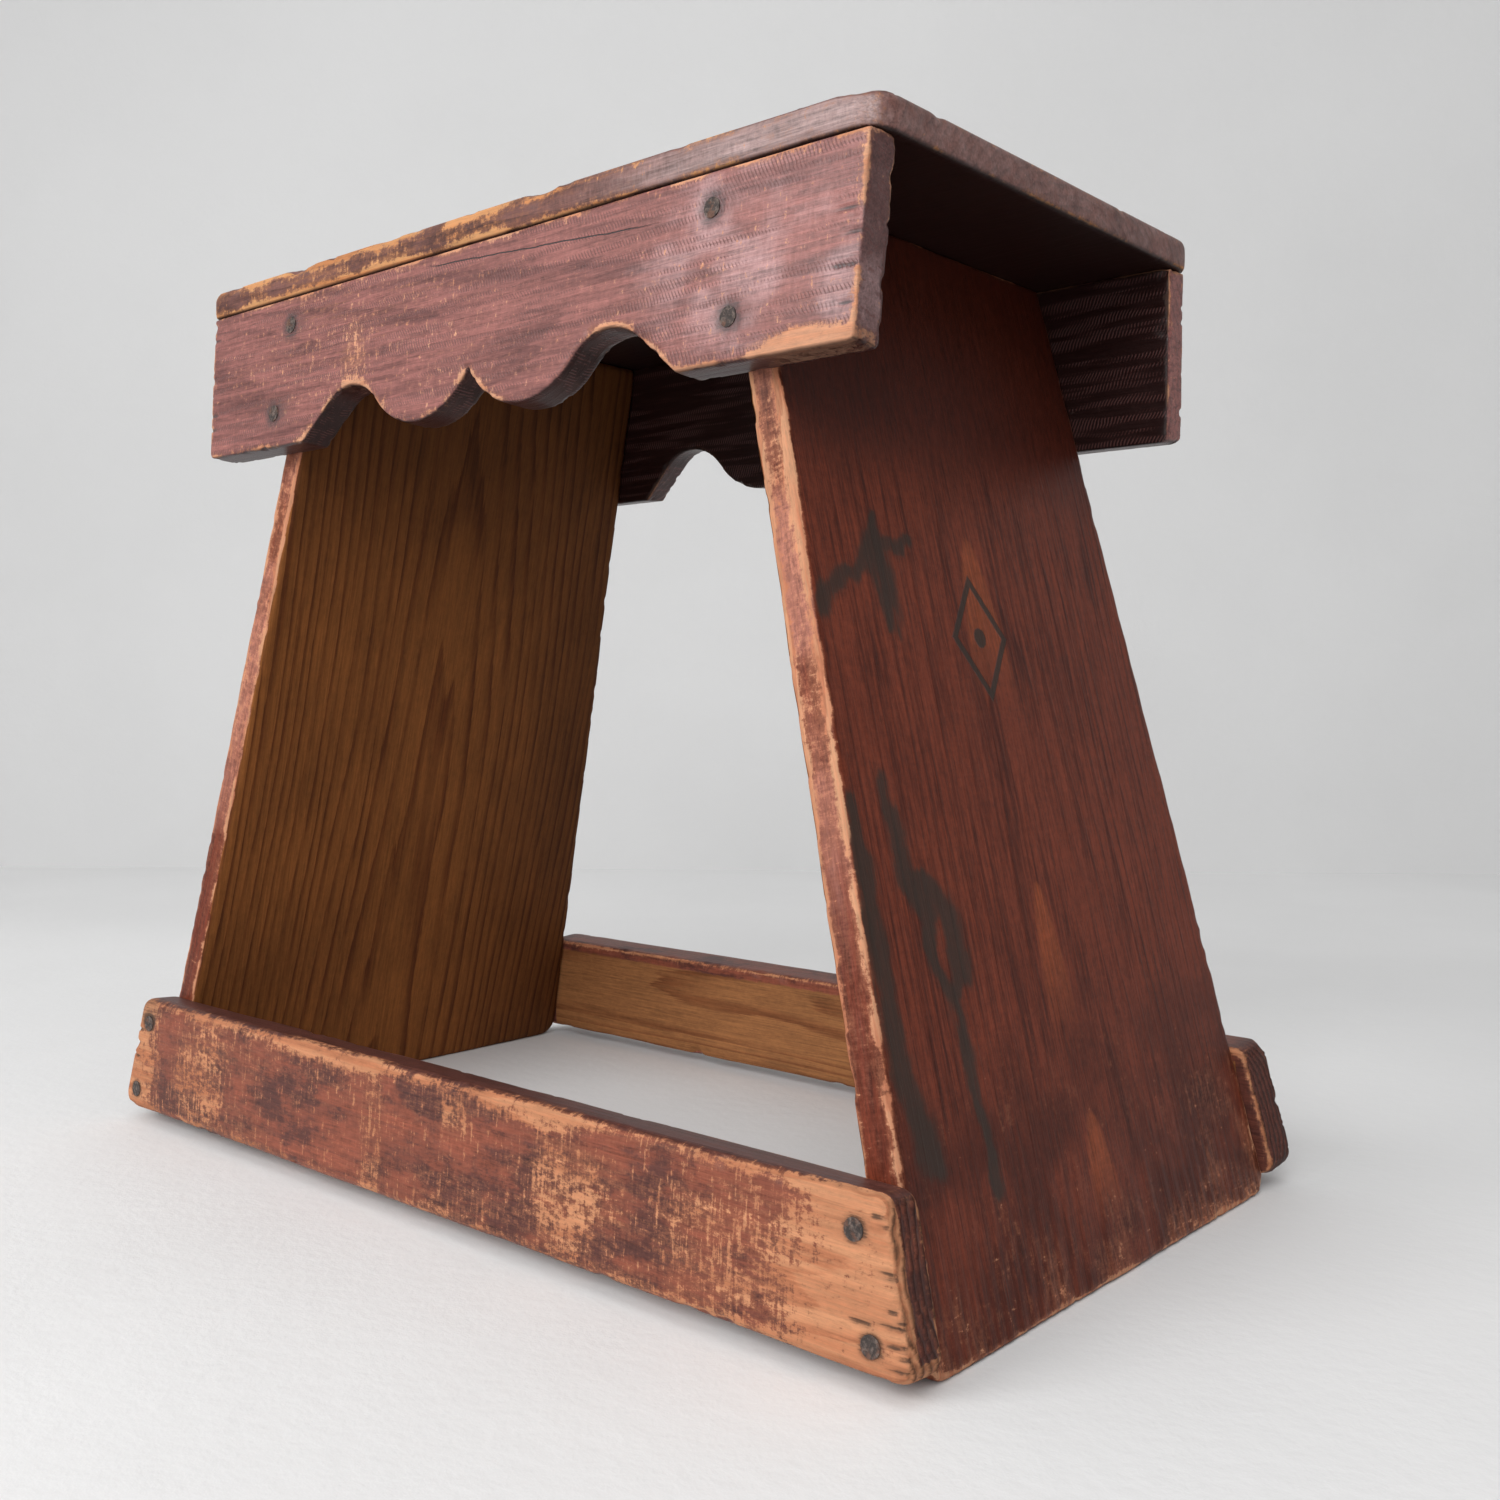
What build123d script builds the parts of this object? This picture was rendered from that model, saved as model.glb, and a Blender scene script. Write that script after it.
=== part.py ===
"""An old stool of seven nailed boards.

A thin seat lies on two scalloped aprons and two side panels. The panels splay
towards the floor, and their front and rear edges lean outwards a little. The
aprons are nailed over those edges under the seat, and two stretchers are
nailed over them near the floor.

The origin is on the floor under the middle of the seat: +X runs along the
seat to the right, +Y to the rear, and +Z up.
"""

import math
import os

from build123d import *

# Whole stool
stool_height = 380.0
panel_splay = 14.4
edge_lean = 4.2

# Seat board. Its width is counted over the aprons, and its rear edge runs out past them.
seat_length = 376.0
seat_width = 211.0
seat_thickness = 12.3
seat_corner_radius = 11.0
seat_front_left_corner_radius = 4.0
seat_rear_overhang = 4.0
seat_top_edge_radius = 3.0
seat_bottom_edge_radius = 1.5

# Side panels
panel_top_spread = 253.2
panel_thickness = 14.0
panel_edge_radius = 1.2
panel_foot_corner_radius = 8.0

# Aprons, with their scalloped lower edge
apron_thickness = 13.4
front_apron_height = 64.0
rear_apron_height = 67.0
apron_end_setback = 2.3
apron_end_taper = 2.4
apron_corner_radius = 3.0
apron_edge_radius = 1.0
scallop_half_length = 109.5
arch_middle = 76.0
arch_radius = 24.0
arch_top_drop = 44.0
lobe_middle = 31.0
cusp_radius = 0.6

# Stretchers
stretcher_height = 51.0
stretcher_lift = 5.0
stretcher_corner_radius = 6.0
stretcher_outer_edge_radius = 3.5
stretcher_inner_edge_radius = 1.0
front_stretcher_thickness = 16.0
rear_stretcher_thickness = 21.5
front_stretcher_left_proud = 2.5
front_stretcher_right_proud = 6.5
rear_stretcher_left_proud = 0.5
rear_stretcher_right_proud = 5.0

# Wire nails, their heads flush with the wood
nail_head_radius = 3.4
nail_head_thickness = 1.2
nail_shank_radius = 1.4
nail_point_length = 4.0
nail_room = 0.05
board_nail_length = 45.0
seat_nail_length = 32.0

# Where the nails go
apron_nail_drops = (12.0, 49.0)
stretcher_nail_margin = 10.0
nail_tip_spacing = 15.5

# Values that follow from the ones above
seat_underside = stool_height - seat_thickness
lean_slope = math.tan(math.radians(edge_lean))
splay_slope = math.tan(math.radians(panel_splay))
panel_level_thickness = panel_thickness / math.cos(math.radians(panel_splay))
apron_level_thickness = apron_thickness / math.cos(math.radians(edge_lean))
stretcher_heights = (stretcher_lift, stretcher_lift + stretcher_height)
overlap = 10.0


def leaning_face(side):
    """The outer face of an apron, carried on to the floor. side is -1 at the front, 1 at the rear."""
    lean = math.radians(edge_lean)
    top_edge = (0, side * seat_width / 2, seat_underside)
    return Plane(top_edge, x_dir=(-side, 0, 0), z_dir=(0, side * math.cos(lean), math.sin(lean)))


def panel_outer_x(z):
    """How far out a side panel's outer face is at the height z."""
    return panel_top_spread / 2 + (seat_underside - z) * splay_slope


def panel_middle_x(z):
    """How far out the middle of a side panel's thickness is at the height z."""
    return panel_outer_x(z) - panel_level_thickness / 2


def up_the_slope(face, z):
    """The sketch height on a leaning face that lies at the height z."""
    return (z - face.origin.Z) / math.cos(math.radians(edge_lean))


def place_on(face, x, z):
    """A place on a leaning face, pointing out of it."""
    y = face.origin.Y + (face.origin.Z - z) * face.z_dir.Z / face.z_dir.Y
    return Location(Plane((x, y, z), z_dir=face.z_dir))


front_apron_face = leaning_face(-1)
rear_apron_face = leaning_face(1)
front_joint = front_apron_face.offset(-apron_thickness)
rear_joint = rear_apron_face.offset(-apron_thickness)
front_stretcher_face = front_joint.offset(front_stretcher_thickness)
rear_stretcher_face = rear_joint.offset(rear_stretcher_thickness)


# Nail places. Every nail into a side panel meets the middle of the panel's thickness.
def apron_nail_places(face, hand):
    """The nails through one end of an apron. hand is -1 at the left, 1 at the right."""
    heights = [seat_underside - drop for drop in apron_nail_drops]
    return [place_on(face, hand * panel_middle_x(z), z) for z in heights]


def stretcher_nail_places(face, hand):
    """The nails through one end of a stretcher."""
    low, high = stretcher_heights
    heights = [low + stretcher_nail_margin, high - stretcher_nail_margin]
    return [place_on(face, hand * panel_middle_x(z), z) for z in heights]


def seat_to_panel_places(hand):
    """The row of nails through the seat into the top of one side panel, between the aprons' nails."""
    bite = seat_nail_length - seat_thickness
    x = hand * panel_middle_x(seat_underside - bite / 2)
    pitch = seat_width / 2 - board_nail_length - nail_tip_spacing
    return [Location((x, row * pitch, stool_height)) for row in (-1, 0, 1)]


def seat_to_apron_places(side):
    """The nails through the seat into one apron: in its middle and half-way along each overhang."""
    bite = seat_nail_length - seat_thickness
    y = side * (seat_width / 2 - apron_level_thickness / 2 + lean_slope * bite / 2)
    overhang_middle = (panel_top_spread / 2 + seat_length / 2 - apron_end_setback) / 2
    return [Location((row * overhang_middle, y, stool_height)) for row in (-1, 0, 1)]


front_apron_nails = {hand: apron_nail_places(front_apron_face, hand) for hand in (-1, 1)}
rear_apron_nails = {hand: apron_nail_places(rear_apron_face, hand) for hand in (-1, 1)}
front_stretcher_nails = {hand: stretcher_nail_places(front_stretcher_face, hand) for hand in (-1, 1)}
rear_stretcher_nails = {hand: stretcher_nail_places(rear_stretcher_face, hand) for hand in (-1, 1)}
seat_panel_nails = {hand: seat_to_panel_places(hand) for hand in (-1, 1)}
seat_apron_nails = {side: seat_to_apron_places(side) for side in (-1, 1)}


# Nails and the holes they make
def nail_shape(length, room):
    """A nail pointing down from its head at the origin, room wider all round than the steel."""
    head = nail_head_radius + room
    shank = nail_shank_radius + room
    with BuildPart() as nail:
        with BuildSketch(Plane.XZ):
            with BuildLine():
                Polyline(
                    (0, 0),
                    (head, 0),
                    (head, -nail_head_thickness),
                    (shank, -nail_head_thickness),
                    (shank, -length - room + nail_point_length),
                    (0, -length - room),
                    close=True,
                )
            make_face()
        revolve(axis=Axis.Z)
    return nail.part


board_nail = nail_shape(board_nail_length, 0)
board_nail_hole = nail_shape(board_nail_length, nail_room)
seat_nail = nail_shape(seat_nail_length, 0)
seat_nail_hole = nail_shape(seat_nail_length, nail_room)


def finish(name, part):
    """Label a finished piece and write it to its own file."""
    part.label = name
    export_step(part, f"parts/{name}.step")


os.makedirs("parts", exist_ok=True)

# Seat board
with BuildPart() as seat_board:
    with BuildSketch(Plane((0, seat_rear_overhang / 2, seat_underside))) as seat_outline:
        Rectangle(seat_length, seat_width + seat_rear_overhang)
        fillet(seat_outline.vertices().sort_by(Axis((0, 0, 0), (1, 1, 0)))[1:], seat_corner_radius)
        front_left_corner = seat_outline.vertices().sort_by(Axis((0, 0, 0), (1, 1, 0)))[0]
        fillet(front_left_corner, seat_front_left_corner_radius)
    extrude(amount=seat_thickness)
    fillet(seat_board.faces().sort_by(Axis.Z)[-1].edges(), seat_top_edge_radius)
    fillet(seat_board.faces().sort_by(Axis.Z)[0].edges(), seat_bottom_edge_radius)
    with Locations(*seat_panel_nails[-1], *seat_panel_nails[1]):
        add(seat_nail_hole, mode=Mode.SUBTRACT)
    with Locations(*seat_apron_nails[-1], *seat_apron_nails[1]):
        add(seat_nail_hole, mode=Mode.SUBTRACT)
finish("seat_board", seat_board.part)


# Aprons
def apron_blank(height):
    """An apron at the front before it is nailed, lying against the front edges of the side panels."""
    half_length = seat_length / 2 - apron_end_setback
    top = up_the_slope(front_apron_face, seat_underside + overlap)
    bottom = up_the_slope(front_apron_face, seat_underside - height)
    end_slope = apron_end_taper / height
    arch_height = height - arch_top_drop

    # The scallop, half of it: a straight cut tangent to an arch, then a lobe tangent to the arch
    # that comes down level with the board's lower edge, up to a cusp in the middle.
    arch_centre = (arch_middle, arch_height - arch_radius)
    step = arch_middle - lobe_middle
    lobe_radius = (step**2 + arch_centre[1] ** 2 - arch_radius**2) / (2 * arch_height)
    run = scallop_half_length - arch_middle
    cut_turn = math.atan2(-arch_centre[1], run)
    cut_turn += math.acos(arch_radius / math.hypot(run, arch_centre[1]))
    meet_turn = math.atan2(lobe_radius - arch_centre[1], -step)
    cusp_turn = math.atan2(-math.sqrt(lobe_radius**2 - lobe_middle**2), -lobe_middle)
    cut_degrees, meet_degrees, cusp_degrees = (math.degrees(a) for a in (cut_turn, meet_turn, cusp_turn))
    lobe_start = meet_degrees - 180

    with BuildPart() as blank:
        with BuildSketch(front_apron_face):
            with BuildLine():
                Line((0, top), (half_length + end_slope * overlap, top))
                Line((half_length + end_slope * overlap, top), (half_length - apron_end_taper, bottom))
                Line((half_length - apron_end_taper, bottom), (scallop_half_length, bottom))
                cut_end = (
                    arch_centre[0] + arch_radius * math.cos(cut_turn),
                    bottom + arch_centre[1] + arch_radius * math.sin(cut_turn),
                )
                Line((scallop_half_length, bottom), cut_end)
                CenterArc(
                    (arch_centre[0], bottom + arch_centre[1]),
                    arch_radius,
                    cut_degrees,
                    meet_degrees - cut_degrees,
                )
                CenterArc(
                    (lobe_middle, bottom + lobe_radius),
                    lobe_radius,
                    lobe_start,
                    cusp_degrees - lobe_start,
                )
                mirror(about=Plane.YZ)
            make_face()
        extrude(amount=-apron_thickness)
        split(bisect_by=Plane.XY.offset(seat_underside), keep=Keep.BOTTOM)
        across = Axis((0, 0, 0), front_apron_face.z_dir)
        square_edges = blank.edges().filter_by(across)
        fillet(square_edges.filter_by_position(Axis.X, -cusp_radius, cusp_radius), cusp_radius)
        bottom_corners = blank.edges().filter_by(across).sort_by(Axis.X)
        fillet([bottom_corners[0], bottom_corners[-1]], apron_corner_radius)
        fillet(blank.faces().sort_by(across)[-1].edges(), apron_edge_radius)
    return blank.part


with BuildPart() as front_apron:
    add(apron_blank(front_apron_height))
    with Locations(*front_apron_nails[-1], *front_apron_nails[1]):
        add(board_nail_hole, mode=Mode.SUBTRACT)
    with Locations(*seat_apron_nails[-1]):
        add(seat_nail_hole, mode=Mode.SUBTRACT)
finish("front_apron", front_apron.part)

with BuildPart() as rear_apron:
    mirror(apron_blank(rear_apron_height), about=Plane.XZ)
    with Locations(*rear_apron_nails[-1], *rear_apron_nails[1]):
        add(board_nail_hole, mode=Mode.SUBTRACT)
    with Locations(*seat_apron_nails[1]):
        add(seat_nail_hole, mode=Mode.SUBTRACT)
finish("rear_apron", rear_apron.part)


# Side panels
def panel_blank():
    """The right side panel before it is nailed, cut to the seat, the floor and both joint planes."""
    with BuildPart() as blank:
        with BuildSketch(Plane.XZ):
            with BuildLine():
                Polyline(
                    (panel_outer_x(seat_underside), seat_underside),
                    (panel_outer_x(0), 0),
                    (panel_outer_x(0) - panel_level_thickness, 0),
                    (panel_outer_x(seat_underside) - panel_level_thickness, seat_underside),
                    close=True,
                )
            make_face()
        extrude(amount=seat_width, both=True)
        split(bisect_by=front_joint, keep=Keep.BOTTOM)
        split(bisect_by=rear_joint, keep=Keep.BOTTOM)
        foot_corners = blank.faces().sort_by(Axis.Z)[0].edges().filter_by(Axis.X)
        fillet(foot_corners, panel_foot_corner_radius)
        splay = math.radians(panel_splay)
        across = Axis((0, 0, 0), (math.cos(splay), 0, math.sin(splay)))
        # Every edge but the top ones, which stay square against the seat.
        outer_edges = blank.faces().sort_by(across)[-1].edges().sort_by(Axis.Z)[:-1]
        inner_edges = blank.faces().sort_by(across)[0].edges().sort_by(Axis.Z)[:-1]
        fillet(outer_edges + inner_edges, panel_edge_radius)
    return blank.part


with BuildPart() as right_side_panel:
    add(panel_blank())
    with Locations(*front_apron_nails[1], *rear_apron_nails[1]):
        add(board_nail_hole, mode=Mode.SUBTRACT)
    with Locations(*front_stretcher_nails[1], *rear_stretcher_nails[1]):
        add(board_nail_hole, mode=Mode.SUBTRACT)
    with Locations(*seat_panel_nails[1]):
        add(seat_nail_hole, mode=Mode.SUBTRACT)
finish("right_side_panel", right_side_panel.part)

with BuildPart() as left_side_panel:
    mirror(right_side_panel.part, about=Plane.YZ)
finish("left_side_panel", left_side_panel.part)


# Stretchers
def stretcher_blank(thickness, left_proud, right_proud):
    """A stretcher at the front before it is nailed, its ends cut to the side panels' splay."""
    low, high = stretcher_heights
    with BuildPart() as blank:
        with BuildSketch(front_joint):
            with BuildLine():
                Polyline(
                    (-panel_outer_x(low) - left_proud, up_the_slope(front_joint, low)),
                    (panel_outer_x(low) + right_proud, up_the_slope(front_joint, low)),
                    (panel_outer_x(high) + right_proud, up_the_slope(front_joint, high)),
                    (-panel_outer_x(high) - left_proud, up_the_slope(front_joint, high)),
                    close=True,
                )
            make_face()
        extrude(amount=thickness)
        across = Axis((0, 0, 0), front_joint.z_dir)
        fillet(blank.edges().filter_by(across), stretcher_corner_radius)
        fillet(blank.faces().sort_by(across)[-1].edges(), stretcher_outer_edge_radius)
        fillet(blank.faces().sort_by(across)[0].edges(), stretcher_inner_edge_radius)
    return blank.part


with BuildPart() as front_stretcher:
    proud = (front_stretcher_left_proud, front_stretcher_right_proud)
    add(stretcher_blank(front_stretcher_thickness, *proud))
    with Locations(*front_stretcher_nails[-1], *front_stretcher_nails[1]):
        add(board_nail_hole, mode=Mode.SUBTRACT)
finish("front_stretcher", front_stretcher.part)

with BuildPart() as rear_stretcher:
    proud = (rear_stretcher_left_proud, rear_stretcher_right_proud)
    mirror(stretcher_blank(rear_stretcher_thickness, *proud), about=Plane.XZ)
    with Locations(*rear_stretcher_nails[-1], *rear_stretcher_nails[1]):
        add(board_nail_hole, mode=Mode.SUBTRACT)
finish("rear_stretcher", rear_stretcher.part)

# Nails, one node for those that hold the same two boards together
nail_sets = {
    "front_apron_left_nails": (board_nail, front_apron_nails[-1]),
    "front_apron_right_nails": (board_nail, front_apron_nails[1]),
    "rear_apron_left_nails": (board_nail, rear_apron_nails[-1]),
    "rear_apron_right_nails": (board_nail, rear_apron_nails[1]),
    "front_stretcher_left_nails": (board_nail, front_stretcher_nails[-1]),
    "front_stretcher_right_nails": (board_nail, front_stretcher_nails[1]),
    "rear_stretcher_left_nails": (board_nail, rear_stretcher_nails[-1]),
    "rear_stretcher_right_nails": (board_nail, rear_stretcher_nails[1]),
    "seat_to_left_panel_nails": (seat_nail, seat_panel_nails[-1]),
    "seat_to_right_panel_nails": (seat_nail, seat_panel_nails[1]),
    "seat_to_front_apron_nails": (seat_nail, seat_apron_nails[-1]),
    "seat_to_rear_apron_nails": (seat_nail, seat_apron_nails[1]),
}
for name, (nail, places) in nail_sets.items():
    with BuildPart() as nails:
        with Locations(*places):
            add(nail)
    finish(name, nails.part)
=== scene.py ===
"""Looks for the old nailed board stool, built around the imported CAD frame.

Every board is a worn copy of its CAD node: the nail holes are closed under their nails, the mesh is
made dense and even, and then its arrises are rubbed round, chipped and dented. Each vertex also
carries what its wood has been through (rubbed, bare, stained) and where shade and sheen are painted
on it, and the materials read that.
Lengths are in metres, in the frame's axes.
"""

import math
from dataclasses import dataclass

import bmesh
import bpy
import numpy as np
from mathutils import Matrix, Vector


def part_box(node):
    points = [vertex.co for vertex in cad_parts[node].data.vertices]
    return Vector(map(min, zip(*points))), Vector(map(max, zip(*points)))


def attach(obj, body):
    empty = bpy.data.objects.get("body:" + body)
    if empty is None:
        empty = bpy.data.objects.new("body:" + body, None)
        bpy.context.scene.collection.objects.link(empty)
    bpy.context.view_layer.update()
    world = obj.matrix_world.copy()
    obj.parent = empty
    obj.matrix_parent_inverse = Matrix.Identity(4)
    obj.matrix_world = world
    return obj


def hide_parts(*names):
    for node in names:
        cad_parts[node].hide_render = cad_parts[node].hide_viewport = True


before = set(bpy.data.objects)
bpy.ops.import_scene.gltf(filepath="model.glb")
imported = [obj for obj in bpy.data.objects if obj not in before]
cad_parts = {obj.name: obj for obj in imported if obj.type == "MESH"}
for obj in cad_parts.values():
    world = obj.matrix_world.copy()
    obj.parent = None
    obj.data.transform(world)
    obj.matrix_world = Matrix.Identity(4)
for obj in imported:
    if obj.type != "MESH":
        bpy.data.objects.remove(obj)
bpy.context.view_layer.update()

MM = 0.001
WELD = 0.002 * MM  # vertices closer than this are one
FINE, COARSE = 0.9 * MM, 1.4 * MM  # net sizes of the small and the large boards


# ---------------------------------------------------------------- noise on arrays of points
def hashed(cells, seed):
    """A repeatable value from 0 to 1 for each whole-number cell.

    The large odd numbers only have to scramble the bits.
    """
    mixed = cells[:, 0] * 73856093 ^ cells[:, 1] * 19349663 ^ cells[:, 2] * 83492791
    mixed = mixed ^ (seed * 2654435761)
    mixed = mixed & 0xFFFFFFFF
    mixed = ((mixed ^ (mixed >> 15)) * 2246822519) & 0xFFFFFFFF
    mixed = ((mixed ^ (mixed >> 13)) * 3266489917) & 0xFFFFFFFF
    return ((mixed ^ (mixed >> 16)) & 0xFFFFFF) / float(0xFFFFFF)


def value_noise(points, size, seed):
    """Smooth noise from 0 to 1 whose lumps are about size across, one size for each axis."""
    scaled = points / np.asarray(size, float)
    cell = np.floor(scaled).astype(np.int64)
    part = scaled - cell
    ease = part * part * (3 - 2 * part)
    total = np.zeros(len(points))
    for corner in range(8):
        step = np.array([corner & 1, corner >> 1 & 1, corner >> 2 & 1])
        weight = np.prod(np.where(step == 1, ease, 1 - ease), axis=1)
        total += weight * hashed(cell + step, seed)
    return total


def layered_noise(points, size, seed, layers=3):
    """Several sizes of value_noise together, from 0 to 1."""
    total, share, shares = np.zeros(len(points)), 1.0, 0.0
    for layer in range(layers):
        total += share * value_noise(points, np.asarray(size, float) / 2**layer, seed + 17 * layer)
        shares += share
        share *= 0.5
    return total / shares


def smooth_step(value, low, high):
    """0 below low, 1 above high, eased between."""
    part = np.clip((value - low) / (high - low), 0, 1)
    return part * part * (3 - 2 * part)


# ---------------------------------------------------------------- nails, read from the frame
def islands(mesh):
    """The separate solids in a mesh, in its own order, each as an array of vertex positions."""
    joined = bmesh.new()
    joined.from_mesh(mesh)
    bmesh.ops.remove_doubles(joined, verts=joined.verts, dist=WELD)
    waiting = set(joined.verts)
    solids = []
    for first in joined.verts:
        if first not in waiting:
            continue
        waiting.remove(first)
        frontier = [first]
        solid = []
        while frontier:
            vertex = frontier.pop()
            solid.append(vertex.co[:])
            for edge in vertex.link_edges:
                other = edge.other_vert(vertex)
                if other in waiting:
                    waiting.remove(other)
                    frontier.append(other)
        solids.append(np.array(solid))
    joined.free()
    return solids


def nail_lines():
    """Each nail's head centre and tip. The head is its wide end."""
    end_depth = 0.3 * MM
    lines = []
    for name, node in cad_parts.items():
        if not name.endswith("_nails"):
            continue
        for solid in islands(node.data):
            spread = solid - solid.mean(0)
            run = spread @ np.linalg.svd(spread)[2][0]
            ends = [solid[run > run.max() - end_depth], solid[run < run.min() + end_depth]]
            head, tip = sorted(ends, key=lambda end: -np.ptp(end, axis=0).max())
            lines.append(((head.max(0) + head.min(0)) / 2, tip.mean(0)))
    return lines


NAILS = nail_lines()
NAIL_HEAD_REACH = 3.6 * MM  # a little more than a head's radius

# What a board's vertices carry, beside their place in the grain: growth rings, worn to fresh wood,
# painted or not, deeper coloured paint (also painted shade on undersides and inner faces), paler
# paint (also a painted sheen on the aprons and the seat's front edge), stains, the warm glow of a
# pointed figure, and painted shade that darkens sheltered faces (on the stretchers' ends, the dark
# rings of their end grain).
MARKS = ("rings", "bare", "painted", "deep", "pale", "dirt", "glow", "grime")

SMOOTHING_PASSES = 13  # on the fine net, to find the arrises
SHARP_DEPTH = 0.85 * MM  # how far a sharp arris stands out of its smoothed self
SHARP = 0.45  # the convexity from which chips can start


# ---------------------------------------------------------------- boards
class Board:
    """A dense copy of one CAD board, worked on in the board's own axes.

    u runs along the grain, v across it and w out of the board's face. The origin is the
    middle of the board.
    """

    def __init__(self, node, along, out, voxel):
        self.name = node
        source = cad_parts[node].data
        self.axes = self.find_axes(source, Vector(along), Vector(out))
        turned = Matrix(self.axes)
        low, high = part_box(node)
        self.middle = (low + high) / 2
        solid = bmesh.new()
        solid.from_mesh(source)
        bmesh.ops.remove_doubles(solid, verts=solid.verts, dist=WELD)
        self.close_nail_holes(solid)
        for vertex in solid.verts:
            vertex.co = turned @ (vertex.co - self.middle)
        rough = bpy.data.meshes.new(node + "_rough")
        solid.to_mesh(rough)
        solid.free()
        self.mesh = self.remeshed(rough, voxel)
        spots = np.zeros(len(self.mesh.vertices) * 3)
        self.mesh.vertices.foreach_get("co", spots)
        self.spots = spots.reshape(-1, 3)
        ends = np.zeros(len(self.mesh.edges) * 2, int)
        self.mesh.edges.foreach_get("vertices", ends)
        self.ends = ends.reshape(-1, 2)
        self.count = np.bincount(self.ends.ravel(), minlength=len(self.spots))
        self.half = (self.spots.max(0) - self.spots.min(0)) / 2
        self.start = self.spots.copy()
        self.cuts = np.zeros(len(self.spots))
        self.face = self.normals().copy()
        self.convex = self.convexity(round(SMOOTHING_PASSES * (FINE / voxel) ** 2), SHARP_DEPTH)

    @staticmethod
    def find_axes(mesh, along, out):
        """Rows u, v and w: w is the mean normal of the large face that looks towards out."""
        total = Vector((0, 0, 0))
        for face in mesh.polygons:
            if face.normal.dot(out) > 0.93:
                total += face.normal * face.area
        w = total.normalized()
        u = (along - along.dot(w) * w).normalized()
        return [u, w.cross(u), w]

    @staticmethod
    def close_nail_holes(solid):
        """Takes away the walls of the nail holes and caps them, because the nails hide them."""
        before_head, beyond_tip = 0.2 * MM, 0.4 * MM
        spots = np.array([v.co for v in solid.verts])
        nail = np.full(len(spots), -1)
        for number, (head, tip) in enumerate(NAILS):
            line = tip - head
            length = np.linalg.norm(line)
            line = line / length
            run = (spots - head) @ line
            off = np.linalg.norm(spots - head - np.outer(run, line), axis=1)
            within = (run > -before_head) & (run < length + beyond_tip)
            nail[(off < NAIL_HEAD_REACH) & within] = number
        walls = [
            face
            for face in solid.faces
            if len({nail[v.index] for v in face.verts}) == 1 and nail[face.verts[0].index] >= 0
        ]
        bmesh.ops.delete(solid, geom=walls, context="FACES")
        loose = [edge for edge in solid.edges if edge.is_boundary]
        bmesh.ops.holes_fill(solid, edges=loose, sides=0)
        bmesh.ops.triangulate(solid, faces=solid.faces)

    @staticmethod
    def remeshed(mesh, voxel):
        """The mesh as an even net of small quads."""
        helper = bpy.data.objects.new("remesh_helper", mesh)
        bpy.context.scene.collection.objects.link(helper)
        step = helper.modifiers.new("even", "REMESH")
        step.mode = "VOXEL"
        step.voxel_size = voxel
        shaped = helper.evaluated_get(bpy.context.evaluated_depsgraph_get())
        dense = bpy.data.meshes.new_from_object(shaped)
        bpy.data.objects.remove(helper)
        bpy.data.meshes.remove(mesh)
        return dense

    def normals(self):
        """The vertex normals of the board as it is now."""
        self.mesh.vertices.foreach_set("co", self.spots.ravel())
        self.mesh.update()
        values = np.zeros(len(self.spots) * 3)
        self.mesh.vertex_normals.foreach_get("vector", values)
        return values.reshape(-1, 3)

    def neighbours(self, values):
        """Each vertex's neighbours' mean of values."""
        a, b = self.ends[:, 0], self.ends[:, 1]
        flat = values.reshape(len(self.spots), -1)
        mean = np.zeros_like(flat)
        for column in range(flat.shape[1]):
            mean[:, column] = np.bincount(a, flat[b, column], len(flat))
            mean[:, column] += np.bincount(b, flat[a, column], len(flat))
        return (mean / self.count[:, None]).reshape(values.shape)

    def rub(self, passes, least, most, lump, seed):
        """Rubs the arrises round, more in some places than in others."""
        amount = layered_noise(self.start, lump, seed, 2)
        amount = least + (most - least) * smooth_step(amount, 0.3, 0.7)
        for _ in range(passes):
            self.spots += (self.neighbours(self.spots) - self.spots) * amount[:, None]

    def dent(self, place, size, depth, seed, dark=0.0):
        """One ragged dent: place and size are (u, v, w) from the board's middle, dark its dirt."""
        away = np.linalg.norm((self.spots - np.asarray(place)) / np.asarray(size), axis=1)
        near = np.flatnonzero(away < 1.3)
        ragged = 0.75 + 0.5 * value_noise(self.spots[near], [2.2 * MM] * 3, seed)
        share = np.clip(1 - (away[near] * ragged) ** 2, 0, 1)
        self.spots[near] -= self.face[near] * (depth * share)[:, None]
        self.cuts[near] = np.maximum(self.cuts[near], dark * share)

    def chip(self, number, seed, size, depth, where=None):
        """Knocks ragged chips out of the arrises, along the grain, at places drawn from seed."""
        sharp = self.convex > SHARP
        if where is not None:
            sharp &= where
        draw = np.random.default_rng(seed)
        for turn, vertex in enumerate(draw.choice(np.flatnonzero(sharp), number)):
            grown = size * draw.uniform(0.5, 1.4)
            shape = np.array([1.8, 1.0, 1.0]) * grown
            self.dent(self.spots[vertex], shape, depth * draw.uniform(0.4, 1.0), seed + turn)

    def erode(self, rings, where, depth):
        """Weathers the soft wood away between the rings."""
        soft = 1 - smooth_step(rings % 1, 0.4, 0.85)
        self.spots -= self.face * (depth * soft * where)[:, None]

    def sink_nails(self, depth):
        """Presses the wood in round each nail head, so that the steel shows."""
        reach = NAIL_HEAD_REACH * 1.9
        for number, (head, _) in enumerate(NAILS):
            self.dent(self.in_board(head), [reach] * 3, depth, 40 + number, 0.35)

    def in_board(self, place):
        """A place in the frame, in the board's axes."""
        return np.array(Matrix(self.axes) @ (Vector(place) - self.middle))

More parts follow.
